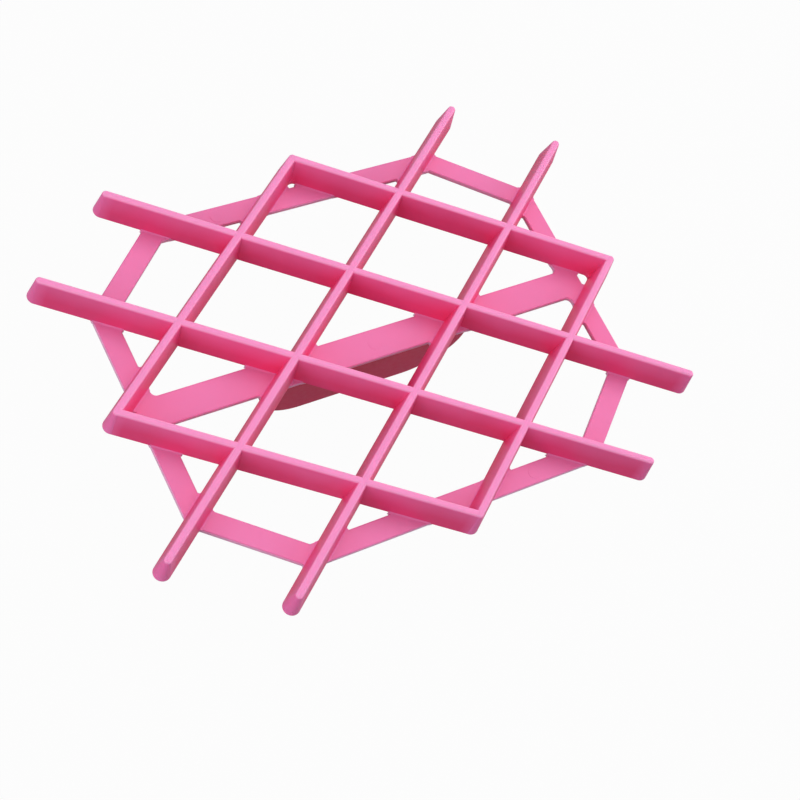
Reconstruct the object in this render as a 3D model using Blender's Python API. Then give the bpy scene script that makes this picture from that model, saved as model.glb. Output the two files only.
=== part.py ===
"""Diamond quilt embosser, blades up, standing on the edge of its handle.

Two families of four tapered ribs cross in a lattice of diamonds. An eight-sided web ring and a
spine carry the lattice from below, and a flat handle hangs under the middle of the spine.
X runs along the spine, Y across it and Z up, from the handle's lower edge to the embossing edges.
"""

import math

import bmesh
import bpy
from mathutils import Matrix, Vector

MM = 0.001

# Diamond lattice
DIAMOND_ANGLE = math.radians(72.8)
CENTRE_PITCH = 25.0 * MM
OUTER_PITCH = 24.0 * MM

# Ribs
RIB_HEIGHT = 6.3 * MM
RIB_EDGE_WIDTH = 1.5 * MM
RIB_BASE_WIDTH = 3.6 * MM
RIB_EDGE_ROUNDING = 0.25 * MM
LONG_RIB_OVERHANG = 29.5 * MM
RIB_END_FACETS = 24
RIB_EDGE_FACETS = 2
RIB_LAP_SHARE = 0.5

# Ring and spine below the ribs, the ring set back from the corners of the frame
WEB_THICKNESS = 1.0 * MM
RING_WIDTH = 4.6 * MM
RING_END_SETBACK = 7.75 * MM
RING_SIDE_SETBACK = 5.7 * MM
RING_SIDE_CORNER_SHIFT = 2.5 * MM
SPINE_WIDTH = 6.6 * MM

# Handle below the spine
HANDLE_DEPTH = 17.5 * MM
HANDLE_LENGTH = 50.6 * MM
HANDLE_ROOT_THICKNESS = 2.6 * MM
HANDLE_EDGE_THICKNESS = 2.2 * MM
HANDLE_CORNER_RADIUS = 12.0 * MM
HANDLE_CORNER_STEPS = 12
HANDLE_EDGE_ROUNDING = 0.4 * MM
HANDLE_EDGE_FACETS = 2

# Clearances
SEAT_GAP = 0.3 * MM
CUT_OVERRUN = 2.0 * MM
WELD_REACH = 0.01 * MM

# Finish
SMOOTH_ANGLE = math.radians(30)
PINK = (0.86, 0.14, 0.37, 1.0)
PLASTIC_ROUGHNESS = 0.32

# Heights that follow from the sizes above
SPINE_UNDERSIDE = HANDLE_DEPTH + SEAT_GAP
RIB_SEAT = SPINE_UNDERSIDE + WEB_THICKNESS + SEAT_GAP
LAP_HEIGHT = RIB_HEIGHT * RIB_LAP_SHARE

# Places of the ribs, measured from the middle along the ribs that cross them
LONG_OFFSET = CENTRE_PITCH / 2
SHORT_OFFSET = CENTRE_PITCH / 2 + OUTER_PITCH
HALF_ANGLE = DIAMOND_ANGLE / 2

# Lengths of the ribs, and how far the frame and the ring below it reach from the middle
LONG_RIB_LENGTH = 2 * (SHORT_OFFSET + LONG_RIB_OVERHANG)
SHORT_RIB_LENGTH = 2 * SHORT_OFFSET + RIB_BASE_WIDTH
FRAME_END_REACH = 2 * SHORT_OFFSET * math.cos(HALF_ANGLE)
FRAME_SIDE_REACH = 2 * SHORT_OFFSET * math.sin(HALF_ANGLE)
RING_END_REACH = FRAME_END_REACH - RING_END_SETBACK
RING_SIDE_REACH = FRAME_SIDE_REACH - RING_SIDE_SETBACK

RISING = 1
FALLING = -1
FAMILY_NAMES = {RISING: "rising", FALLING: "falling"}
SIDE_NAMES = {-1: "left", 1: "right"}


def clear_scene():
    for obj in list(bpy.data.objects):
        bpy.data.objects.remove(obj, do_unlink=True)


def add_collection(name):
    collection = bpy.data.collections.new(name)
    bpy.context.scene.collection.children.link(collection)
    return collection


def pink_plastic(name):
    material = bpy.data.materials.new(name + "_plastic")
    material.use_nodes = True
    shader = material.node_tree.nodes["Principled BSDF"]
    shader.inputs["Base Color"].default_value = PINK
    shader.inputs["Roughness"].default_value = PLASTIC_ROUGHNESS
    shader.inputs["Metallic"].default_value = 0.0
    material.diffuse_color = PINK
    return material


def add_part(data, name, collection, root):
    """Puts a mesh or a curve in the scene as one named part with its own plastic."""
    part = bpy.data.objects.new(name, data)
    data.materials.append(pink_plastic(name))
    collection.objects.link(part)
    part.parent = root
    return part


def mesh_from(bm, name):
    mesh = bpy.data.meshes.new(name)
    bmesh.ops.recalc_face_normals(bm, faces=bm.faces)
    bm.to_mesh(mesh)
    bm.free()
    return mesh


def rib_direction(family):
    return Vector((math.cos(HALF_ANGLE), family * math.sin(HALF_ANGLE), 0))


def seat_rib(obj, family, offset):
    """Lays a rib or a rib-shaped cutter on its line in the lattice."""
    obj.location = rib_direction(-family) * offset + Vector((0, 0, RIB_SEAT))
    obj.rotation_euler = (0, 0, family * HALF_ANGLE)


def rib_width_at(height):
    taper = (RIB_EDGE_WIDTH - RIB_BASE_WIDTH) / RIB_HEIGHT
    return RIB_BASE_WIDTH + taper * height


def tapered_bar(length, low, high, growth):
    """A bar along X with the rib's drafted sides, between two heights, grown on both sides."""
    low_width = rib_width_at(low) + 2 * growth
    high_width = rib_width_at(high) + 2 * growth
    bm = bmesh.new()
    bmesh.ops.create_cube(bm, size=1)
    bmesh.ops.scale(bm, vec=(length, low_width, high - low), verts=bm.verts)
    bmesh.ops.translate(bm, vec=(0, 0, (low + high) / 2), verts=bm.verts)
    upper = [vert for vert in bm.verts if vert.co.z > (low + high) / 2]
    bmesh.ops.scale(bm, vec=(1, high_width / low_width, 1), verts=upper)
    return bm


def rib_shape(length):
    """A drafted rib with half-round ends: a cone frustum whose two halves are drawn apart."""
    flat_correction = 1 / math.cos(math.pi / RIB_END_FACETS)
    half_step = Matrix.Rotation(math.pi / RIB_END_FACETS, 4, "Z")
    lift = Matrix.Translation((0, 0, RIB_HEIGHT / 2))
    bm = bmesh.new()
    bmesh.ops.create_cone(
        bm,
        cap_ends=True,
        segments=RIB_END_FACETS,
        radius1=RIB_BASE_WIDTH / 2 * flat_correction,
        radius2=RIB_EDGE_WIDTH / 2 * flat_correction,
        depth=RIB_HEIGHT,
        matrix=lift @ half_step,
    )
    straight = length - RIB_BASE_WIDTH
    for vert in bm.verts:
        vert.co.x += math.copysign(straight / 2, vert.co.x)
    round_embossing_edge(bm)
    return bm


def round_embossing_edge(bm):
    """Rounds the rim of a rib's narrow upper face, the one that marks the icing."""
    rim = [edge for edge in bm.edges if all(vert.co.z > LAP_HEIGHT for vert in edge.verts)]
    bmesh.ops.bevel(
        bm,
        geom=rim,
        offset=RIB_EDGE_ROUNDING,
        segments=RIB_EDGE_FACETS,
        profile=0.5,
        affect="EDGES",
    )


def add_lap_cutter(family, offset, collection):
    """The space that one rib takes from every rib that crosses it, above or below the lap."""
    if family == RISING:
        low = LAP_HEIGHT - SEAT_GAP / 2
        high = RIB_HEIGHT + CUT_OVERRUN
    else:
        low = -CUT_OVERRUN
        high = LAP_HEIGHT + SEAT_GAP / 2
    bm = tapered_bar(LONG_RIB_LENGTH + 2 * CUT_OVERRUN, low, high, SEAT_GAP)
    name = "lap_cutter_" + FAMILY_NAMES[family]
    cutter = bpy.data.objects.new(name, mesh_from(bm, name))
    collection.objects.link(cutter)
    cutter.hide_render = True
    cutter.display_type = "WIRE"
    seat_rib(cutter, family, offset)
    return cutter


def add_rib(family, side, is_long, collection, root):
    if is_long:
        kind = "long_rib_"
        length = LONG_RIB_LENGTH
        offset = side * LONG_OFFSET
    else:
        kind = "short_rib_"
        length = SHORT_RIB_LENGTH
        offset = side * SHORT_OFFSET
    name = kind + FAMILY_NAMES[family] + "_" + SIDE_NAMES[side]
    mesh = mesh_from(rib_shape(length), name)
    mesh.shade_smooth()
    mesh.set_sharp_from_angle(angle=SMOOTH_ANGLE)
    rib = add_part(mesh, name, collection, root)
    seat_rib(rib, family, offset)
    return rib


def cut_laps(rib, cutters):
    for cutter in cutters:
        cut = rib.modifiers.new("lap", "BOOLEAN")
        cut.operation = "DIFFERENCE"
        cut.solver = "EXACT"
        cut.object = cutter


def add_lattice(collection, cutter_collection, root):
    """Rising ribs keep their upper half at each crossing, and falling ribs their lower half."""
    offsets = [side * offset for offset in (LONG_OFFSET, SHORT_OFFSET) for side in SIDE_NAMES]
    cutters = {}
    for family in FAMILY_NAMES:
        cutters[family] = [add_lap_cutter(family, offset, cutter_collection) for offset in offsets]
    for family in FAMILY_NAMES:
        for side in SIDE_NAMES:
            for is_long in (True, False):
                rib = add_rib(family, side, is_long, collection, root)
                cut_laps(rib, cutters[-family])


def flat_curve(name, outline, thickness):
    """A flat plate of the given outline, centred on its thickness."""
    curve = bpy.data.curves.new(name, "CURVE")
    curve.dimensions = "2D"
    curve.fill_mode = "BOTH"
    curve.extrude = thickness / 2
    spline = curve.splines.new("POLY")
    spline.points.add(len(outline) - 1)
    for point, (x, y) in zip(spline.points, outline):
        point.co = (x, y, 0, 1)
    spline.use_cyclic_u = True
    return curve


def ring_corners():
    """Names and corners of the ring's eight sides, anticlockwise from the right-hand end."""
    end_y = RING_END_REACH * math.tan(HALF_ANGLE) - CENTRE_PITCH * math.sin(HALF_ANGLE)
    side_x = RING_SIDE_REACH / math.tan(HALF_ANGLE) - CENTRE_PITCH * math.cos(HALF_ANGLE)
    side_x += RING_SIDE_CORNER_SHIFT
    return [
        ("ring_end_right", Vector((RING_END_REACH, -end_y))),
        ("ring_corner_back_right", Vector((RING_END_REACH, end_y))),
        ("ring_side_back", Vector((side_x, RING_SIDE_REACH))),
        ("ring_corner_back_left", Vector((-side_x, RING_SIDE_REACH))),
        ("ring_end_left", Vector((-RING_END_REACH, end_y))),
        ("ring_corner_front_left", Vector((-RING_END_REACH, -end_y))),
        ("ring_side_front", Vector((-side_x, -RING_SIDE_REACH))),
        ("ring_corner_front_right", Vector((side_x, -RING_SIDE_REACH))),
    ]


def outward_of(along):
    """The direction that points out of the ring from a side that runs anticlockwise."""
    return Vector((along.y, -along.x))


def mitre_arm(before, corner, after):
    """From a corner of the ring's middle line to the outer point of the mitre there."""
    outward_in = outward_of((corner - before).normalized())
    outward_out = outward_of((after - corner).normalized())
    bisector = (outward_in + outward_out).normalized()
    return bisector * (RING_WIDTH / 2 / bisector.dot(outward_in))


def mitre_setback(along, arm):
    """How far a side of the ring stops short of its mitre, so that a seat gap stays there."""
    return along * (SEAT_GAP / 2 / math.cos(arm.angle(outward_of(along))))


def add_ring(collection, root):
    names = [name for name, corner in ring_corners()]
    corners = [corner for name, corner in ring_corners()]
    count = len(corners)
    arms = [mitre_arm(corners[i - 1], corners[i], corners[(i + 1) % count]) for i in range(count)]
    for i in range(count):
        following = (i + 1) % count
        along = (corners[following] - corners[i]).normalized()
        start = corners[i] + mitre_setback(along, arms[i])
        end = corners[following] - mitre_setback(along, arms[following])
        outline = [start + arms[i], end + arms[following], end - arms[following], start - arms[i]]
        side = add_part(flat_curve(names[i], outline, WEB_THICKNESS), names[i], collection, root)
        side.location.z = SPINE_UNDERSIDE + WEB_THICKNESS / 2


def add_spine(collection, root):
    """The flat bar along the long diagonal, between the inner edges of the ring's two ends."""
    half_length = RING_END_REACH - RING_WIDTH / 2 - SEAT_GAP
    half_width = SPINE_WIDTH / 2
    outline = [
        (-half_length, -half_width),
        (half_length, -half_width),
        (half_length, half_width),
        (-half_length, half_width),
    ]
    name = "spine_bar"
    spine = add_part(flat_curve(name, outline, WEB_THICKNESS), name, collection, root)
    spine.location.z = SPINE_UNDERSIDE + WEB_THICKNESS / 2


def handle_outline():
    """A plate with a straight root and two large round lower corners, lower edge at height zero."""
    half_length = HANDLE_LENGTH / 2
    radius = min(HANDLE_CORNER_RADIUS, HANDLE_DEPTH, half_length)
    outline = [(half_length, HANDLE_DEPTH), (-half_length, HANDLE_DEPTH)]
    for side in SIDE_NAMES:
        for step in range(HANDLE_CORNER_STEPS + 1):
            turn = math.pi / 2 * step / HANDLE_CORNER_STEPS
            if side > 0:
                turn = math.pi / 2 - turn
            x = side * (half_length - radius + radius * math.cos(turn))
            outline.append((x, radius - radius * math.sin(turn)))
    return outline


def add_handle(collection, root):
    """The grip plate, drafted towards its lower edge, with that edge's rim rounded."""
    name = "handle_plate"
    curve = flat_curve(name, handle_outline(), HANDLE_ROOT_THICKNESS)
    flat = bpy.data.objects.new(name + "_outline", curve)
    collection.objects.link(flat)
    flat.rotation_euler = (math.pi / 2, 0, 0)
    bpy.context.view_layer.update()
    graph = bpy.context.evaluated_depsgraph_get()
    mesh = bpy.data.meshes.new_from_object(flat.evaluated_get(graph))
    place = flat.matrix_world.copy()
    bpy.data.objects.remove(flat)
    bm = bmesh.new()
    bm.from_mesh(mesh)
    bpy.data.meshes.remove(mesh)
    bmesh.ops.remove_doubles(bm, verts=bm.verts, dist=WELD_REACH)
    edge_share = HANDLE_EDGE_THICKNESS / HANDLE_ROOT_THICKNESS
    for vert in bm.verts:
        depth_share = 1 - vert.co.y / HANDLE_DEPTH
        vert.co.z *= 1 + (edge_share - 1) * depth_share
    flat_angle = SMOOTH_ANGLE / HANDLE_CORNER_STEPS
    bmesh.ops.dissolve_limit(bm, angle_limit=flat_angle, verts=bm.verts, edges=bm.edges)
    root_height = HANDLE_DEPTH - HANDLE_EDGE_ROUNDING
    rim = []
    for edge in bm.edges:
        below_root = all(vert.co.y < root_height for vert in edge.verts)
        along_face = abs(edge.verts[0].co.z + edge.verts[1].co.z) > HANDLE_EDGE_THICKNESS / 2
        if below_root and along_face:
            rim.append(edge)
    bmesh.ops.bevel(
        bm,
        geom=rim,
        offset=HANDLE_EDGE_ROUNDING,
        segments=HANDLE_EDGE_FACETS,
        profile=0.5,
        affect="EDGES",
    )
    mesh = mesh_from(bm, name)
    mesh.shade_smooth()
    mesh.set_sharp_from_angle(angle=SMOOTH_ANGLE)
    handle = add_part(mesh, name, collection, root)
    handle.matrix_world = place


def build():
    clear_scene()
    parts = add_collection("quilt_embosser")
    cutters = add_collection("cutters")
    root = bpy.data.objects.new("embosser_root", None)
    parts.objects.link(root)
    add_lattice(parts, cutters, root)
    add_ring(parts, root)
    add_spine(parts, root)
    add_handle(parts, root)


build()
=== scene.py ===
"""Looks of the quilt embosser: one glossy pink moulding, shown standing on the edge of its handle.

Each member of the moulding is a piece of its own that replaces the CAD node of the same name: four
long ribs, four short ribs, the eight sides of the web ring, the spine and the handle. Their joins
are closed here and blended as in the moulding, with round roots and round inside corners.
"""

import math

import bmesh
import bpy
from mathutils import Matrix, Vector


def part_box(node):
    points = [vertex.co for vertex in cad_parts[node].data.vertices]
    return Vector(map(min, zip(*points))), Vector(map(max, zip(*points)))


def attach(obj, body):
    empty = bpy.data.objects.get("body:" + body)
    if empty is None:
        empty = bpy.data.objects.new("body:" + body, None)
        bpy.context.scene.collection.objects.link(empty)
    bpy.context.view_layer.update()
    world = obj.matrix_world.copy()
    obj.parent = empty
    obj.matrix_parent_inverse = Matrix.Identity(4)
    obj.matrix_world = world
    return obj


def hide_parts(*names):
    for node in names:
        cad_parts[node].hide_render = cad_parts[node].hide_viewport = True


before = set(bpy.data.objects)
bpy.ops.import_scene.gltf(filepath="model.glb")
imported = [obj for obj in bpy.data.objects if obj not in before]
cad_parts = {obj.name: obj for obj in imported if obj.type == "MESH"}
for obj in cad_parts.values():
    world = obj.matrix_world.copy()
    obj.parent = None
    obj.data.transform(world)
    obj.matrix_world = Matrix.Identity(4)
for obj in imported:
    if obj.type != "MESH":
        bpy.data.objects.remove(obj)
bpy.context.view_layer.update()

MM = 0.001

# Ribs
RIB_EDGE_WIDTH = 1.5 * MM
RIB_BASE_WIDTH = 3.6 * MM
RIB_EDGE_ROUNDING = 0.5 * MM
RIB_EDGE_FACETS = 6
RIB_FOOT_ROUNDING = 0.12 * MM
RIB_FOOT_FACETS = 4
RIB_END_FACETS = 72
ROOT_RADIUS = 0.4 * MM
ROOT_FACETS = 6
ROOT_DEPTH = 0.3 * MM
ROOT_LAP = 0.15 * MM
ROOT_FILM = 0.004 * MM
ROOT_SINK = 0.004 * MM
CROSSING_STEP = 0.02 * MM
CORNER_STEP = 0.1 * MM
RISING = 1
FALLING = -1

# Painted highlight: the ribs' free ends are painted paler, standing in for the light that falls on
# their end caps
END_HIGHLIGHT_SHARE = "end_highlight_share"
END_FADE = 2.0 * MM
END_HIGHLIGHT_PINK = (1.0, 0.21, 0.53, 1.0)

# Web ring and spine
WEB_RISE = 0.2 * MM
WEB_RIM_ROUNDING = 0.32 * MM
WEB_RIM_FACETS = 4
RING_SIDE_CORNER_SHIFT = 2.5 * MM
SPINE_SIDES = ("ring_end_right", "ring_end_left")
INSIDE_CORNER_RADIUS = 0.3 * MM
SPINE_END_REACH = 1.2 * MM
FRAME_CORNER_REACH = 1.1 * MM
FRAME_CORNER_HEIGHT = 1.2 * MM
CORNER_FACETS = 8
PLATE_OVERRUN = 4.0 * MM
MITRE_LAP = 0.01 * MM

# Round marks of the mould's pins on the web
PIN_MARK_RADIUS = 1.35 * MM
PIN_MARK_RISE = 0.05 * MM
PIN_MARK_RIM = 0.04 * MM
PIN_MARK_RIM_FACETS = 4
PIN_MARK_FACETS = 48
PIN_MARK_OFFSET = 19.2 * MM

# Handle
HANDLE_ROOT_THICKNESS = 2.6 * MM
HANDLE_EDGE_THICKNESS = 2.2 * MM
HANDLE_CORNER_RADIUS = 12.0 * MM
HANDLE_CORNER_FACETS = 24
HANDLE_RIM_ROUNDING = 0.5 * MM
HANDLE_RIM_FACETS = 6
HANDLE_ROOT_RADIUS = 0.7 * MM

# Plastic
# Painted shade: the ribs' deep pink is darker than the web's and stands in for shade on their
# lower flanks
RIB_SHADED_PINK = (0.9, 0.065, 0.225, 1.0)
PALE_PINK = (0.95, 0.14, 0.38, 1.0)
WEB_DEEP_PINK = (0.87, 0.19, 0.45, 1.0)
WEB_PALE_PINK = (0.91, 0.23, 0.51, 1.0)
# Painted shade: the handle's pinks are deeper than the ribs', for the shade it stands in under the
# web
HANDLE_SHADED_DEEP_PINK = (0.79, 0.035, 0.145, 1.0)
HANDLE_SHADED_PALE_PINK = (0.92, 0.1, 0.29, 1.0)
# Painted highlight: the ribs' rounded top edges are painted pale, for the light they catch
TOP_EDGE_HIGHLIGHT_PINK = (1.0, 0.4, 0.69, 1.0)
TOP_EDGE_HIGHLIGHT_RANGE = (24.95 * MM, 25.28 * MM)
TOP_EDGE_HIGHLIGHT_SHARE = 0.75
# Painted light: the ribs' flat tops are painted light, a little duller than the painted highlights
# on their rounded edges
TOP_LIGHT_PINK = (0.90, 0.24, 0.53, 1.0)
TOP_LIGHT_RANGE = (25.32 * MM, 25.39 * MM)
TOP_LIGHT_SHARE = 0.8
# Painted highlight: the web's rims and side walls, between its top and its underside, are painted
# paler, for the light caught along them
RIM_HIGHLIGHT_PINK = (1.0, 0.52, 0.8, 1.0)
RIM_HIGHLIGHT_RANGE = (18.92 * MM, 18.8 * MM)
UNDERSIDE_RANGE = (17.81 * MM, 17.85 * MM)
WEB_RIM_HIGHLIGHT_SHARE = 0.85
# Painted shade: the ribs are painted deep below this height and grow paler up to the top of the
# range
HEIGHT_SHADE_RANGE = (21.0 * MM, 25.0 * MM)
NOISE_RANGE = (0.3, 0.7)
CLOUD_SCALE = 70.0
CLOUD_DETAIL = 3
CLOUD_SWING = (-0.5, 0.5)
CLOUD_SHARE = 0.5
SPECKLE_SCALE = 900.0
SPECKLE_DETAIL = 2
SKIN_SCALE = 300.0
SKIN_DETAIL = 3
SKIN_DEPTH = 0.02 * MM
SKIN_STRENGTH = 0.12
RIBS_ROUGHNESS = 0.37
WEB_ROUGHNESS = 0.4
ROUGHNESS_SPREAD = (-0.04, 0.05)
PLASTIC_IOR = 1.49
PLASTIC_SPECULAR = 0.25
GLOW_WEIGHT = 0.2
GLOW_COLOR = (1.0, 0.12, 0.25)
GLOW_REACH = 0.5 * MM

# Studio
WHITE = (1.0, 1.0, 1.0, 1.0)
FLOOR_SIZE = 6.0
FLOOR_COLOR = (0.22, 0.22, 0.22, 1.0)
FLOOR_ROUGHNESS = 1.0
FLOOR_SPECULAR = 0.0
FLOOR_WHITE_SHARE = 0.97
FLOOR_MIRROR_SHARE = 0.3
WORLD_STRENGTH = 0.5
WORLD_WHITE_SHARE = 1.0
WORLD_MIRROR_SHARE = 0.6
LAMPS = [
    # name, place, size, power
    ("overhead_softbox", (0.41, 0.3, 0.84), 0.7, 3.7),
    ("left_softbox", (-0.38, -0.06, 0.2), 0.3, 0.55),
    ("right_softbox", (0.42, -0.1, 0.2), 0.3, 0.6),
]

# Camera of the photograph
CAMERA_PLACE = Vector((-158.3, -115.2, 309.1)) * MM
CAMERA_AIM = Vector((-0.8, -13.5, 19.1)) * MM
CAMERA_ROLL = math.radians(33.98)
CAMERA_LENS = 76.31
CAMERA_SENSOR = 36.0
CAMERA_CLIP_START = 10.0 * MM

# Modelling
SMOOTH_ANGLE = math.radians(32)
WELD_REACH = 0.002 * MM
ROUND_PROFILE = 0.5
UP = Vector((0, 0, 1))
BACK = Vector((0, 1, 0))
# The least and the most that a face's normal has of a direction it looks along or across
ALONG_SHARE = 0.9
ACROSS_SHARE = 0.5


def select_only(piece):
    """Selects a piece alone and makes it the active one."""
    bpy.ops.object.select_all(action="DESELECT")
    piece.select_set(True)
    bpy.context.view_layer.objects.active = piece


def edit_chosen(piece, kind, chosen):
    """Opens a piece in edit mode with those vertices, edges or faces selected that are chosen."""
    select_only(piece)
    bpy.ops.object.mode_set(mode="EDIT")
    bpy.ops.mesh.select_mode(type=kind)
    bpy.ops.mesh.select_all(action="DESELECT")
    bm = bmesh.from_edit_mesh(piece.data)
    for item in {"VERT": bm.verts, "EDGE": bm.edges, "FACE": bm.faces}[kind]:
        item.select_set(chosen(item))
    bmesh.update_edit_mesh(piece.data)


def close_edit():
    """Leaves edit mode and keeps the changes."""
    bpy.ops.object.mode_set(mode="OBJECT")


def round_edges(piece, chosen, radius, facets):
    """Rounds those edges of a piece that are chosen."""
    edit_chosen(piece, "EDGE", chosen)
    bpy.ops.mesh.bevel(offset=radius, segments=facets, profile=ROUND_PROFILE)
    close_edit()


def settle(piece):
    """Puts a piece's place and turn into its mesh, so that the object sits at the origin."""
    select_only(piece)
    bpy.ops.object.transform_apply(location=True, rotation=True, scale=True)


def clean_mesh(piece):
    """Merges doubles and turns every face outwards."""
    edit_chosen(piece, "VERT", lambda vert: True)
    bpy.ops.mesh.remove_doubles(threshold=WELD_REACH)
    bpy.ops.mesh.normals_make_consistent(inside=False)
    close_edit()


def give_plastic(piece, plastic):
    """Makes the whole of a piece of one plastic."""
    piece.data.materials.clear()
    piece.data.materials.append(plastic)
    for face in piece.data.polygons:
        face.material_index = 0


def boolean(piece, other, operation):
    """Cuts, keeps or adds another shape, which is used up and keeps its own plastic."""
    modifier = piece.modifiers.new(operation.lower(), "BOOLEAN")
    modifier.operation = operation
    modifier.solver = "EXACT"
    modifier.material_mode = "TRANSFER"
    modifier.object = other
    select_only(piece)
    bpy.ops.object.modifier_apply(modifier=modifier.name)
    bpy.data.objects.remove(other, do_unlink=True)


def copy_of(piece, name):
    """A copy with its own mesh."""
    twin = piece.copy()
    twin.data = piece.data.copy()
    twin.name = name
    bpy.context.scene.collection.objects.link(twin)
    return twin


def is_rim_edge(edge, direction):
    """Whether an edge joins a face that looks along a direction to one that looks across it."""
    shares = sorted(abs(face.normal.dot(direction)) for face in edge.link_faces)
    return shares[0] < ACROSS_SHARE and shares[-1] > ALONG_SHARE


def rib_half_width(height):
    """Half the width of a drafted rib at a height above its foot."""
    taper = (RIB_BASE_WIDTH - RIB_EDGE_WIDTH) / 2 / RIB_HEIGHT
    return RIB_BASE_WIDTH / 2 - taper * height


def flat(point):
    """A point's place as seen from above."""
    return Vector((point.x, point.y))


def rib_reach(node):
    """How far the middle line of a rib reaches from the rib's middle, along X and along Y."""
    low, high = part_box(node)
    return flat(high - low) / 2 - Vector((RIB_BASE_WIDTH / 2, RIB_BASE_WIDTH / 2))


def rib_lines():
    """Middle, direction and straight length of each rib, read from the CAD boxes."""
    lines = {}
    for kind in ("long_rib_", "short_rib_"):
        reach = rib_reach(kind + "falling_left")
        for family, rise in (("rising_", RISING), ("falling_", FALLING)):
            for side in ("left", "right"):
                low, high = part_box(kind + family + side)
                direction = Vector((reach.x, rise * reach.y)).normalized()
                lines[kind + family + side] = (flat(low + high) / 2, direction, 2 * reach.length)
    return lines


RIB_LOW, RIB_HIGH = (corner.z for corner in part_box("long_rib_rising_left"))
WEB_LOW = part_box("spine_bar")[0].z
WEB_TOP = RIB_LOW - WEB_RISE / 2
RIB_FOOT = RIB_LOW - WEB_RISE
RIB_HEIGHT = RIB_HIGH - RIB_FOOT
RIB_LINES = rib_lines()


def draw_apart(piece, straight):
    """Pulls the two halves of a round shape apart along X by a straight length."""
    for side in (1, -1):
        edit_chosen(piece, "VERT", lambda vert: vert.co.x * side > 0)
        bpy.ops.transform.translate(value=(side * straight / 2, 0, 0))
        close_edit()


def rib_bar(name, straight):
    """A drafted rib with half-round ends and a rounded embossing edge, along X and on its foot."""
    bpy.ops.object.select_all(action="DESELECT")
    bpy.ops.mesh.primitive_cone_add(
        vertices=RIB_END_FACETS,
        radius1=RIB_BASE_WIDTH / 2,
        radius2=RIB_EDGE_WIDTH / 2,
        depth=RIB_HEIGHT,
        location=(0, 0, RIB_HEIGHT / 2),
        rotation=(0, 0, math.pi / RIB_END_FACETS),
    )
    piece = bpy.context.object
    piece.name = name
    settle(piece)
    draw_apart(piece, straight)

    def is_on_edge(edge):
        return all(vert.co.z > RIB_HEIGHT / 2 for vert in edge.verts)

    def is_on_foot(edge):
        return all(vert.co.z < WELD_REACH for vert in edge.verts)

    round_edges(piece, is_on_edge, RIB_EDGE_ROUNDING, RIB_EDGE_FACETS)
    round_edges(piece, is_on_foot, RIB_FOOT_ROUNDING, RIB_FOOT_FACETS)
    # Cuts the faces where the painted highlight on the ends starts to fade in
    for side in (1, -1):
        edit_chosen(piece, "FACE", lambda face: True)
        fade_start = side * (straight / 2 - END_FADE)
        bpy.ops.mesh.bisect(plane_co=(fade_start, 0, 0), plane_no=(1, 0, 0))
        close_edit()
    return piece


def root_skirt(name, straight):
    """The round root that spreads from a rib's flanks onto the web, all round the rib."""
    draft = math.atan2(RIB_BASE_WIDTH - RIB_EDGE_WIDTH, 2 * RIB_HEIGHT)
    web_height = WEB_TOP - RIB_FOOT + ROOT_FILM
    flank = rib_half_width(web_height) - ROOT_SINK
    spread = ROOT_RADIUS / math.tan((math.pi / 2 + draft) / 2)
    radius = flank + spread
    bpy.ops.object.select_all(action="DESELECT")
    bpy.ops.mesh.primitive_cylinder_add(
        vertices=RIB_END_FACETS,
        radius=radius + ROOT_LAP,
        depth=ROOT_DEPTH,
        location=(0, 0, web_height - ROOT_DEPTH / 2),
        rotation=(0, 0, math.pi / RIB_END_FACETS),
    )
    piece = bpy.context.object
    piece.name = name
    settle(piece)
    edit_chosen(piece, "FACE", lambda face: face.normal.z > ALONG_SHARE)
    bpy.ops.mesh.inset(thickness=ROOT_LAP)
    for step in range(1, ROOT_FACETS + 1):
        turn = (math.pi / 2 - draft) * step / ROOT_FACETS
        before = (math.pi / 2 - draft) * (step - 1) / ROOT_FACETS
        rise = ROOT_RADIUS * (math.cos(before) - math.cos(turn))
        next_radius = flank + spread - ROOT_RADIUS * math.sin(turn)
        bpy.ops.mesh.extrude_region_move(TRANSFORM_OT_translate={"value": (0, 0, rise)})
        share = next_radius / radius
        bpy.ops.transform.resize(value=(share, share, 1), center_override=(0, 0, 0))
        radius = next_radius
    close_edit()
    draw_apart(piece, straight)
    return piece


def mark_ends(rib, line, straight):
    """Marks how far each point of a rib lies out towards the tips of its ends, from 0 to 1: the
    mask of the painted highlight on the ends.
    """
    middle, direction, _ = line
    shares = rib.data.attributes.new(END_HIGHLIGHT_SHARE, "FLOAT", "POINT")
    for vert, share in zip(rib.data.vertices, shares.data):
        beyond = abs((flat(vert.co) - middle).dot(direction)) - straight / 2 + END_FADE
        share.value = min(max(beyond / (END_FADE + RIB_BASE_WIDTH / 2), 0), 1)


def lay_on_line(piece, line):
    """Puts a shape made along X onto a rib's line, on the level of the ribs' feet."""
    middle, direction, _ = line
    piece.location = (middle.x, middle.y, RIB_FOOT)
    piece.rotation_euler = (0, 0, math.atan2(direction.y, direction.x))
    settle(piece)


def fillet_arc(corner, along_a, along_b, reach):
    """Points that round one inside corner, from one side to the other."""
    opening = along_a.angle(along_b)
    centre = corner + (along_a + along_b).normalized() * (reach / math.cos(opening / 2))
    start = corner + along_a * reach - centre
    end = corner + along_b * reach - centre
    points = []
    for step in range(CORNER_FACETS + 1):
        spoke = start.lerp(end, step / CORNER_FACETS).normalized() * start.length
        points.append(centre + spoke)
    return points


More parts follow.
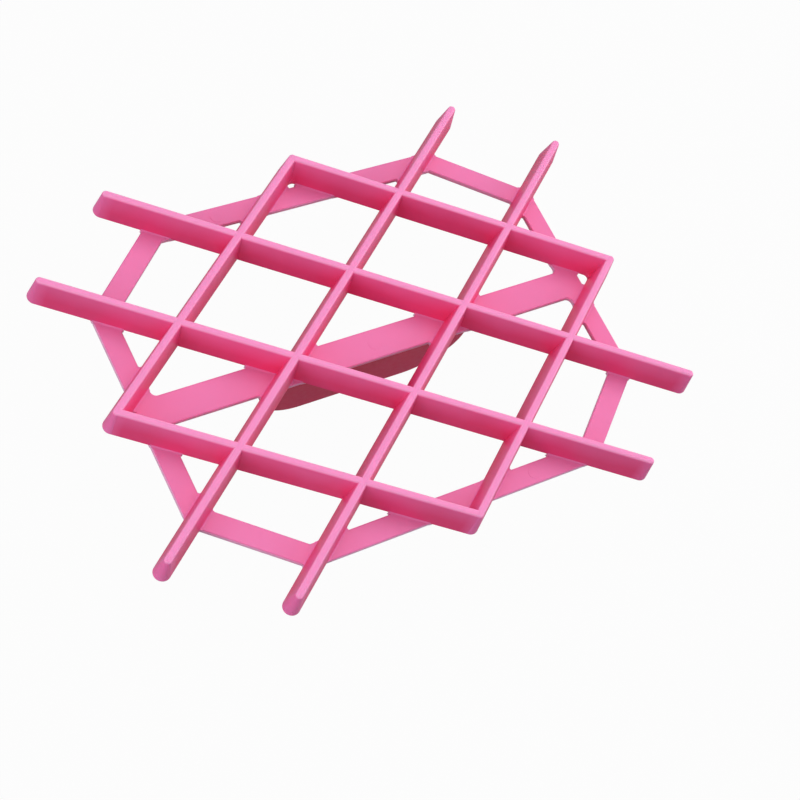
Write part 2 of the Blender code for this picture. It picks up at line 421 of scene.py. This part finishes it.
def crossings(start, end, outward):
    """The ribs that cross a straight side, in order: place along it and direction outwards."""
    along = (end - start).normalized()
    found = []
    for middle, direction, straight in RIB_LINES.values():
        out = direction if direction.dot(outward) > 0 else -direction
        gap = middle - start
        slope = along.cross(out)
        place = gap.cross(out) / slope
        rib_place = gap.cross(along) / slope
        if abs(rib_place) < straight / 2 and 0 < place < (end - start).length:
            found.append((place, out))
    return sorted(found, key=lambda item: item[0])


def side_with_fillets(start, end, outward, mitres=()):
    """Outline points of one side of a web bar, with each corner at a rib's flank rounded."""
    along = (end - start).normalized()
    points = [start]
    for place, out in crossings(start, end, outward):
        half = RIB_BASE_WIDTH / 2 / abs(along.cross(out))
        before = start + along * (place - half)
        after = start + along * (place + half)
        for corner, sides in ((before, (-along, out)), (after, (out, along))):
            reach = INSIDE_CORNER_RADIUS / math.tan(sides[0].angle(sides[1]) / 2)
            if all((corner - mitre).dot(normal) < 0 for mitre, normal in mitres):
                points += fillet_arc(corner, *sides, reach)
    points.append(end)
    return points


def flat_plate(name, outline, low, high):
    """A closed plate of a given outline, drawn flat and pulled up to its height."""
    bm = bmesh.new()
    bm.faces.new([bm.verts.new((place.x, place.y, low)) for place in outline])
    drawing = bpy.data.meshes.new(name)
    bm.to_mesh(drawing)
    bm.free()
    plate = bpy.data.objects.new(name, drawing)
    bpy.context.scene.collection.objects.link(plate)
    edit_chosen(plate, "FACE", lambda face: True)
    bpy.ops.mesh.extrude_region_move(TRANSFORM_OT_translate={"value": (0, 0, high - low)})
    close_edit()
    clean_mesh(plate)
    return plate


def trim(piece, place, outward):
    """Cuts away all that lies beyond an upright plane."""
    edit_chosen(piece, "FACE", lambda face: True)
    bpy.ops.mesh.bisect(
        plane_co=(place.x, place.y, 0),
        plane_no=(outward.x, outward.y, 0),
        clear_outer=True,
        use_fill=True,
        threshold=WELD_REACH,
    )
    close_edit()


def ring_corners():
    """Names and corners of the ring's eight sides, anticlockwise from the right-hand end."""
    end_low, end_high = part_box("ring_end_right")
    side_low, side_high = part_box("ring_side_back")
    end_x = (end_low.x + end_high.x) / 2
    side_y = (side_low.y + side_high.y) / 2
    middle, direction, _ = RIB_LINES["long_rib_rising_right"]
    slope = direction.y / direction.x
    end_y = middle.y + (end_x - middle.x) * slope
    middle = RIB_LINES["long_rib_rising_left"][0]
    side_x = middle.x + (side_y - middle.y) / slope + RING_SIDE_CORNER_SHIFT
    return [
        ("ring_end_right", Vector((end_x, -end_y))),
        ("ring_corner_back_right", Vector((end_x, end_y))),
        ("ring_side_back", Vector((side_x, side_y))),
        ("ring_corner_back_left", Vector((-side_x, side_y))),
        ("ring_end_left", Vector((-end_x, end_y))),
        ("ring_corner_front_left", Vector((-end_x, -end_y))),
        ("ring_side_front", Vector((-side_x, -side_y))),
        ("ring_corner_front_right", Vector((side_x, -side_y))),
    ]


RING_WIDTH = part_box("ring_end_right")[1].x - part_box("ring_end_right")[0].x
RING_CORNERS = ring_corners()
SPINE_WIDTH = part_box("spine_bar")[1].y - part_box("spine_bar")[0].y
SPINE_REACH = dict(RING_CORNERS)["ring_end_right"].x - RING_WIDTH / 2 - SPINE_END_REACH


def mitre_normal(before, corner, after):
    """The direction along the ring at a corner, which is square to the mitre there."""
    return ((corner - before).normalized() + (after - corner).normalized()).normalized()


def spine_root(middle, along, inward):
    """Outline points of the short stub, with round corners, that the spine grows out of."""
    half = along * SPINE_WIDTH / 2
    near = fillet_arc(middle - half, -along, inward, SPINE_END_REACH)
    far = fillet_arc(middle + half, inward, along, SPINE_END_REACH)
    return near + far


def ring_side_plate(index, low, high, lap=0):
    """One side of the ring, mitred at both ends, where it may lap over its neighbours."""
    count = len(RING_CORNERS)
    name, start = RING_CORNERS[index]
    before = RING_CORNERS[index - 1][1]
    end = RING_CORNERS[(index + 1) % count][1]
    after = RING_CORNERS[(index + 2) % count][1]
    along = (end - start).normalized()
    outward = Vector((along.y, -along.x))
    half = outward * RING_WIDTH / 2
    first = start - along * PLATE_OVERRUN
    last = end + along * PLATE_OVERRUN
    mitres = [(start, -mitre_normal(before, start, end)), (end, mitre_normal(start, end, after))]
    outline = side_with_fillets(first + half, last + half, outward, mitres)
    if name in SPINE_SIDES:
        root = (start + end) / 2 - half
        inner = side_with_fillets(first - half, root, -outward, mitres)[:-1]
        inner += spine_root(root, along, -outward)
        inner += side_with_fillets(root, last - half, -outward, mitres)[1:]
        outline += reversed(inner)
    else:
        outline += reversed(side_with_fillets(first - half, last - half, -outward, mitres))
    plate = flat_plate(name + "_web", outline, low, high)
    for mitre, normal in mitres:
        trim(plate, mitre + normal * lap, normal)
    return plate


def spine_plate(low, high, lap=0):
    """The spine between its two roots, which it may lap over."""
    half = SPINE_WIDTH / 2
    outline = []
    for side in (-1, 1):
        start = Vector((side * (SPINE_REACH + lap), side * half))
        finish = Vector((-start.x, start.y))
        outline += side_with_fillets(start, finish, Vector((0, side)))
    return flat_plate("spine_bar_web", outline, low, high)


def web_prism():
    """The whole web in one piece and taller than the roots, to cut them to its outline."""
    top = WEB_TOP + 2 * ROOT_RADIUS
    prism = spine_plate(WEB_LOW, top, MITRE_LAP)
    for index in range(len(RING_CORNERS)):
        boolean(prism, ring_side_plate(index, WEB_LOW, top, MITRE_LAP), "UNION")
    return prism


def round_rims(plate, joins):
    """Rounds a plate's upper and lower rims, except where it runs on into its neighbours."""

    def is_open_rim(edge):
        middle = flat(sum((vert.co for vert in edge.verts), Vector()) / 2)
        gaps = [abs((middle - place).dot(normal)) for place, normal in joins]
        return is_rim_edge(edge, UP) and min(gaps) >= WELD_REACH

    round_edges(plate, is_open_rim, WEB_RIM_ROUNDING, WEB_RIM_FACETS)


def add_pin_mark(plate, place):
    """A shallow round mark that a pin of the mould leaves on the web."""
    bpy.ops.object.select_all(action="DESELECT")
    bpy.ops.mesh.primitive_cylinder_add(
        vertices=PIN_MARK_FACETS,
        radius=PIN_MARK_RADIUS,
        depth=2 * PIN_MARK_RISE,
        location=(place.x, place.y, WEB_TOP),
    )
    mark = bpy.context.object
    settle(mark)

    def is_upper_rim(edge):
        return all(vert.co.z > WEB_TOP for vert in edge.verts)

    round_edges(mark, is_upper_rim, PIN_MARK_RIM, PIN_MARK_RIM_FACETS)
    boolean(plate, mark, "UNION")


def build_web():
    """The ring's sides and the spine, finished, by the names of their nodes."""
    count = len(RING_CORNERS)
    corners = [corner for name, corner in RING_CORNERS]
    mitres = []
    for i, corner in enumerate(corners):
        mitres.append(mitre_normal(corners[i - 1], corner, corners[(i + 1) % count]))
    spine_joins = [(Vector((side * SPINE_REACH, 0)), Vector((1, 0))) for side in (-1, 1)]
    plates = {}
    for i, (name, corner) in enumerate(RING_CORNERS):
        j = (i + 1) % count
        joins = [(corner, mitres[i]), (corners[j], mitres[j])]
        if name in SPINE_SIDES:
            joins += spine_joins
        plates[name] = ring_side_plate(i, WEB_LOW, WEB_TOP)
        round_rims(plates[name], joins)
    plates["spine_bar"] = spine_plate(WEB_LOW, WEB_TOP)
    round_rims(plates["spine_bar"], spine_joins)
    side_y = dict(RING_CORNERS)["ring_side_back"].y
    add_pin_mark(plates["spine_bar"], Vector((0, 0)))
    add_pin_mark(plates["ring_side_back"], Vector((-PIN_MARK_OFFSET, side_y)))
    add_pin_mark(plates["ring_side_front"], Vector((PIN_MARK_OFFSET, -side_y)))
    return plates


def add_roots(rib, line, straight, prism, plastic):
    """Adds the rib's round roots, which stand only where there is web below."""
    roots = root_skirt(rib.name + "_roots", straight)
    lay_on_line(roots, line)
    boolean(roots, copy_of(prism, "root_outline"), "INTERSECT")
    give_plastic(roots, plastic)
    boolean(rib, roots, "UNION")


def add_frame_corners(rib, line):
    """Rounds the inside of the frame's corners at the foot of a short rib's two ends."""
    middle, direction, straight = line
    crossing = Vector((direction.x, -direction.y))
    for side in (-1, 1):
        corner = middle + direction * side * straight / 2
        along = -direction * side
        across = crossing if crossing.dot(corner) < 0 else -crossing
        setback = RIB_BASE_WIDTH / 2 / math.sin(along.angle(across) / 2)
        inner = corner + (along + across).normalized() * setback
        outline = fillet_arc(inner, along, across, FRAME_CORNER_REACH)
        outline.append(corner)
        pad = flat_plate("corner_pad", outline, RIB_FOOT, RIB_FOOT + FRAME_CORNER_HEIGHT)
        give_plastic(pad, rib.data.materials[0])
        boolean(rib, pad, "UNION")


def build_ribs(ribs_plastic, web_plastic):
    """The eight ribs, by the names of their nodes.

    The falling ribs lie a hair lower, so that the rising ones run on across them.
    """
    prism = web_prism()
    ribs = {}
    for name, line in RIB_LINES.items():
        is_corner_guest = name.startswith("short_rib_falling")
        straight = line[2] - (2 * CORNER_STEP if is_corner_guest else 0)
        rib = rib_bar(name + "_rib", straight)
        lay_on_line(rib, line)
        give_plastic(rib, ribs_plastic)
        add_roots(rib, line, straight, prism, web_plastic)
        if is_corner_guest:
            add_frame_corners(rib, line)
        mark_ends(rib, line, straight)
        if "falling" in name:
            rib.location.z = -CROSSING_STEP
            settle(rib)
        ribs[name] = rib
    bpy.data.objects.remove(prism, do_unlink=True)
    return ribs


def flare_root(spread):
    """Draws a chosen top face up in a quarter round that widens, and on into the web.

    The spread is half the face's length and half its width.
    """
    for step in range(1, ROOT_FACETS + 1):
        turn = math.pi / 2 * step / ROOT_FACETS
        before = math.pi / 2 * (step - 1) / ROOT_FACETS
        rise = HANDLE_ROOT_RADIUS * (math.sin(turn) - math.sin(before))
        growth = HANDLE_ROOT_RADIUS * (math.cos(before) - math.cos(turn))
        wider = spread + Vector((growth, growth))
        bpy.ops.mesh.extrude_region_move(TRANSFORM_OT_translate={"value": (0, 0, rise)})
        bpy.ops.transform.resize(
            value=(wider.x / spread.x, wider.y / spread.y, 1), center_override=(0, 0, 0)
        )
        spread = wider
    bpy.ops.mesh.extrude_region_move(TRANSFORM_OT_translate={"value": (0, 0, ROOT_DEPTH)})


def build_handle():
    """The grip plate: drafted, with two large round corners, a rounded rim and a round root."""
    low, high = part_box("handle_plate")
    length = high.x - low.x - 2 * HANDLE_ROOT_RADIUS
    top = WEB_LOW - HANDLE_ROOT_RADIUS
    bpy.ops.object.select_all(action="DESELECT")
    bpy.ops.mesh.primitive_cube_add(size=1, location=(0, 0, top / 2))
    handle = bpy.context.object
    handle.name = "handle_plate_grip"
    handle.scale = (length, HANDLE_ROOT_THICKNESS, top)
    settle(handle)
    edit_chosen(handle, "VERT", lambda vert: vert.co.z < top / 2)
    rim_highlight_share = HANDLE_EDGE_THICKNESS / HANDLE_ROOT_THICKNESS
    bpy.ops.transform.resize(value=(1, rim_highlight_share, 1), center_override=(0, 0, 0))
    close_edit()

    def is_lower_corner(edge):
        first, second = edge.verts
        is_across = abs(first.co.x - second.co.x) < WELD_REACH
        return is_across and max(first.co.z, second.co.z) < top / 2

    def is_free_rim(edge):
        return min(v.co.z for v in edge.verts) < top - WELD_REACH and is_rim_edge(edge, BACK)

    round_edges(handle, is_lower_corner, HANDLE_CORNER_RADIUS, HANDLE_CORNER_FACETS)
    round_edges(handle, is_free_rim, HANDLE_RIM_ROUNDING, HANDLE_RIM_FACETS)
    edit_chosen(handle, "FACE", lambda face: face.normal.z > ALONG_SHARE)
    flare_root(Vector((length, HANDLE_ROOT_THICKNESS)) / 2)
    close_edit()
    return handle


def feed(tree, socket, value):
    """Sets a node's socket to a plain value, or links another node's output to it."""
    if isinstance(value, bpy.types.NodeSocket):
        tree.links.new(value, socket)
    else:
        socket.default_value = value


def math_node(tree, operation, *values, clamp=False):
    """A mask made of other masks and plain numbers."""
    node = tree.nodes.new("ShaderNodeMath")
    node.operation = operation
    node.use_clamp = clamp
    for socket, value in zip(node.inputs, values):
        feed(tree, socket, value)
    return node.outputs["Value"]


def noise_node(tree, place, scale, detail):
    """A mask of soft spots."""
    noise = tree.nodes.new("ShaderNodeTexNoise")
    feed(tree, noise.inputs["Vector"], place)
    feed(tree, noise.inputs["Scale"], scale)
    feed(tree, noise.inputs["Detail"], detail)
    return noise.outputs["Fac"]


def map_range_node(tree, value, source, target):
    """A mask stretched from one range onto another, and held at its ends."""
    ranged = tree.nodes.new("ShaderNodeMapRange")
    feed(tree, ranged.inputs["Value"], value)
    for name, number in zip(("From Min", "From Max", "To Min", "To Max"), source + target):
        feed(tree, ranged.inputs[name], number)
    return ranged.outputs["Result"]


def mix_color_node(tree, mask, first, second):
    """The first colour where the mask is 0 and the second where it is 1."""
    mix = tree.nodes.new("ShaderNodeMix")
    mix.data_type = "RGBA"
    feed(tree, mix.inputs["Factor"], mask)
    feed(tree, mix.inputs["A"], first)
    feed(tree, mix.inputs["B"], second)
    return mix.outputs["Result"]


def add_group_socket(group, name, in_or_out, kind, value=None):
    """Gives a node group a named input, with its usual value, or a named output."""
    socket = group.interface.new_socket(name=name, in_out=in_or_out, socket_type=kind)
    if value is not None:
        socket.default_value = value


def moulded_plastic_group():
    """Clouded plastic, with painted shade deeper lower down the ribs, painted highlights on the
    web's rims and on the ribs' free ends and rounded top edges, and painted light on the ribs'
    flat tops.
    """
    group = bpy.data.node_groups.new("moulded_plastic", "ShaderNodeTree")
    add_group_socket(group, "Deep Pink", "INPUT", "NodeSocketColor", RIB_SHADED_PINK)
    add_group_socket(group, "Pale Pink", "INPUT", "NodeSocketColor", PALE_PINK)
    add_group_socket(group, "Roughness", "INPUT", "NodeSocketFloat", WEB_ROUGHNESS)
    add_group_socket(group, "Rim Highlight Share", "INPUT", "NodeSocketFloat", 0)
    add_group_socket(group, "Color", "OUTPUT", "NodeSocketColor")
    add_group_socket(group, "Roughness", "OUTPUT", "NodeSocketFloat")
    add_group_socket(group, "Height", "OUTPUT", "NodeSocketFloat")
    inputs = group.nodes.new("NodeGroupInput").outputs
    outputs = group.nodes.new("NodeGroupOutput").inputs
    place = group.nodes.new("ShaderNodeTexCoord").outputs["Object"]
    split = group.nodes.new("ShaderNodeSeparateXYZ")
    feed(group, split.inputs["Vector"], place)
    height = split.outputs["Z"]

    spots = noise_node(group, place, CLOUD_SCALE, CLOUD_DETAIL)
    clouds = map_range_node(group, spots, NOISE_RANGE, CLOUD_SWING)
    # Painted shade: the ribs grow deeper lower down their flanks; the clouds are the plastic's own
    # random tone
    height_light = map_range_node(group, height, HEIGHT_SHADE_RANGE, (0, 1))
    clouded = math_node(group, "MULTIPLY_ADD", clouds, CLOUD_SHARE, height_light, clamp=True)
    color = mix_color_node(group, clouded, inputs["Deep Pink"], inputs["Pale Pink"])

    # Painted highlight: the ribs' free ends are painted paler, for the light that falls on them
    ends = group.nodes.new("ShaderNodeAttribute")
    ends.attribute_name = END_HIGHLIGHT_SHARE
    color = mix_color_node(group, ends.outputs["Fac"], color, END_HIGHLIGHT_PINK)

    # Painted highlight along the web's rims and side walls; the ribs and the handle get none of it
    below_top = map_range_node(group, height, RIM_HIGHLIGHT_RANGE, (0, 1))
    above_underside = map_range_node(group, height, UNDERSIDE_RANGE, (0, 1))
    rim = math_node(group, "MULTIPLY", below_top, above_underside)
    edge = math_node(group, "MULTIPLY", rim, inputs["Rim Highlight Share"])
    color = mix_color_node(group, edge, color, RIM_HIGHLIGHT_PINK)

    # Painted highlight on the ribs' rounded top edges
    top_edge_highlight = map_range_node(group, height, TOP_EDGE_HIGHLIGHT_RANGE, (0, TOP_EDGE_HIGHLIGHT_SHARE))
    color = mix_color_node(group, top_edge_highlight, color, TOP_EDGE_HIGHLIGHT_PINK)
    # Painted light on the ribs' flat tops, a little duller than the painted highlights on their
    # edges
    top_light = map_range_node(group, height, TOP_LIGHT_RANGE, (0, TOP_LIGHT_SHARE))
    color = mix_color_node(group, top_light, color, TOP_LIGHT_PINK)
    feed(group, outputs["Color"], color)

    speckle = noise_node(group, place, SPECKLE_SCALE, SPECKLE_DETAIL)
    spread = map_range_node(group, speckle, NOISE_RANGE, ROUGHNESS_SPREAD)
    feed(group, outputs["Roughness"], math_node(group, "ADD", inputs["Roughness"], spread))
    feed(group, outputs["Height"], noise_node(group, place, SKIN_SCALE, SKIN_DETAIL))
    return group


def pink_plastic(name, group, deep, pale, roughness, rim_highlight_share=0):
    """One plastic of the moulding, glossy and a little translucent."""
    material = bpy.data.materials.new(name)
    material.use_nodes = True
    tree = material.node_tree
    shader = tree.nodes["Principled BSDF"]
    plastic = tree.nodes.new("ShaderNodeGroup")
    plastic.node_tree = group
    plastic.inputs["Deep Pink"].default_value = deep
    plastic.inputs["Pale Pink"].default_value = pale
    plastic.inputs["Roughness"].default_value = roughness
    plastic.inputs["Rim Highlight Share"].default_value = rim_highlight_share
    bump = tree.nodes.new("ShaderNodeBump")
    bump.inputs["Distance"].default_value = SKIN_DEPTH
    bump.inputs["Strength"].default_value = SKIN_STRENGTH
    tree.links.new(plastic.outputs["Color"], shader.inputs["Base Color"])
    tree.links.new(plastic.outputs["Roughness"], shader.inputs["Roughness"])
    tree.links.new(plastic.outputs["Height"], bump.inputs["Height"])
    tree.links.new(bump.outputs["Normal"], shader.inputs["Normal"])
    shader.inputs["IOR"].default_value = PLASTIC_IOR
    shader.inputs["Specular IOR Level"].default_value = PLASTIC_SPECULAR
    shader.subsurface_method = "BURLEY"
    shader.inputs["Subsurface Weight"].default_value = GLOW_WEIGHT
    shader.inputs["Subsurface Radius"].default_value = GLOW_COLOR
    shader.inputs["Subsurface Scale"].default_value = GLOW_REACH
    material.diffuse_color = deep
    return material


def finish_piece(piece, node):
    """Shades a piece and sets it in the place of its CAD node."""
    select_only(piece)
    bpy.ops.object.shade_smooth_by_angle(angle=SMOOTH_ANGLE)
    weighting = piece.modifiers.new("even_normals", "WEIGHTED_NORMAL")
    weighting.keep_sharp = True
    bpy.ops.object.modifier_apply(modifier=weighting.name)
    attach(piece, "root")
    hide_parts(node)


def seen_white(tree, shader_output, camera_share, mirror_share):
    """Mixes plain white into a surface as the camera and as glossy plastic see it."""
    glow = tree.nodes.new("ShaderNodeEmission")
    glow.inputs["Color"].default_value = WHITE
    path = tree.nodes.new("ShaderNodeLightPath").outputs
    to_camera = math_node(tree, "MULTIPLY", path["Is Camera Ray"], camera_share)
    to_mirror = math_node(tree, "MULTIPLY", path["Is Glossy Ray"], mirror_share)
    mix = tree.nodes.new("ShaderNodeMixShader")
    tree.links.new(math_node(tree, "ADD", to_camera, to_mirror), mix.inputs["Fac"])
    tree.links.new(shader_output, mix.inputs[1])
    tree.links.new(glow.outputs["Emission"], mix.inputs[2])
    return mix.outputs["Shader"]


def build_floor():
    """A pale floor that keeps the tool's shadow."""
    bpy.ops.object.select_all(action="DESELECT")
    bpy.ops.mesh.primitive_plane_add(size=FLOOR_SIZE, location=(0, 0, 0))
    floor = bpy.context.object
    floor.name = "floor"
    material = bpy.data.materials.new("pale_floor")
    material.use_nodes = True
    tree = material.node_tree
    shader = tree.nodes["Principled BSDF"]
    shader.inputs["Base Color"].default_value = FLOOR_COLOR
    shader.inputs["Roughness"].default_value = FLOOR_ROUGHNESS
    shader.inputs["Specular IOR Level"].default_value = FLOOR_SPECULAR
    seen = seen_white(tree, shader.outputs["BSDF"], FLOOR_WHITE_SHARE, FLOOR_MIRROR_SHARE)
    tree.links.new(seen, tree.nodes["Material Output"].inputs["Surface"])
    floor.data.materials.append(material)


def build_world():
    """Even soft light from all round, in front of plain white."""
    world = bpy.data.worlds.new("studio")
    bpy.context.scene.world = world
    world.use_nodes = True
    tree = world.node_tree
    background = tree.nodes["Background"]
    background.inputs["Color"].default_value = WHITE
    background.inputs["Strength"].default_value = WORLD_STRENGTH
    light = background.outputs["Background"]
    seen = seen_white(tree, light, WORLD_WHITE_SHARE, WORLD_MIRROR_SHARE)
    tree.links.new(seen, tree.nodes["World Output"].inputs["Surface"])


def add_lamp(name, place, size, power):
    """A soft square lamp that faces the middle of the lattice."""
    lamp = bpy.data.lights.new(name, "AREA")
    lamp.shape = "SQUARE"
    lamp.size = size
    lamp.energy = power
    lamp_object = bpy.data.objects.new(name, lamp)
    lamp_object.location = place
    facing = Vector((0, 0, RIB_FOOT)) - Vector(place)
    lamp_object.rotation_euler = facing.to_track_quat("-Z", "Y").to_euler()
    bpy.context.scene.collection.objects.link(lamp_object)


def build_camera():
    """A camera at the photograph's place and angle."""
    camera = bpy.data.cameras.new("camera")
    camera.lens = CAMERA_LENS
    camera.sensor_width = CAMERA_SENSOR
    camera.clip_start = CAMERA_CLIP_START
    camera_object = bpy.data.objects.new("camera", camera)
    facing = (CAMERA_AIM - CAMERA_PLACE).to_track_quat("-Z", "Y").to_matrix().to_4x4()
    roll = Matrix.Rotation(CAMERA_ROLL, 4, "Z")
    camera_object.matrix_world = Matrix.Translation(CAMERA_PLACE) @ facing @ roll
    bpy.context.scene.collection.objects.link(camera_object)
    bpy.context.scene.camera = camera_object


def main():
    """Builds the tool's pieces, the studio round them and the camera."""
    group = moulded_plastic_group()
    # The ribs' plastic is painted deeper than the web's, as painted shade on their flanks
    ribs_plastic = pink_plastic("ribs_plastic", group, RIB_SHADED_PINK, PALE_PINK, RIBS_ROUGHNESS)
    web_plastic = pink_plastic(
        "web_plastic", group, WEB_DEEP_PINK, WEB_PALE_PINK, WEB_ROUGHNESS, WEB_RIM_HIGHLIGHT_SHARE
    )
    # The handle's plastic is painted deeper, as painted shade under the web
    handle_plastic = pink_plastic(
        "handle_plastic", group, HANDLE_SHADED_DEEP_PINK, HANDLE_SHADED_PALE_PINK, WEB_ROUGHNESS
    )
    for name, plate in build_web().items():
        give_plastic(plate, web_plastic)
        finish_piece(plate, name)
    for name, rib in build_ribs(ribs_plastic, web_plastic).items():
        finish_piece(rib, name)
    handle = build_handle()
    give_plastic(handle, handle_plastic)
    finish_piece(handle, "handle_plate")
    build_floor()
    build_world()
    for lamp in LAMPS:
        add_lamp(*lamp)
    build_camera()
    bpy.context.scene.view_settings.view_transform = "Standard"


main()
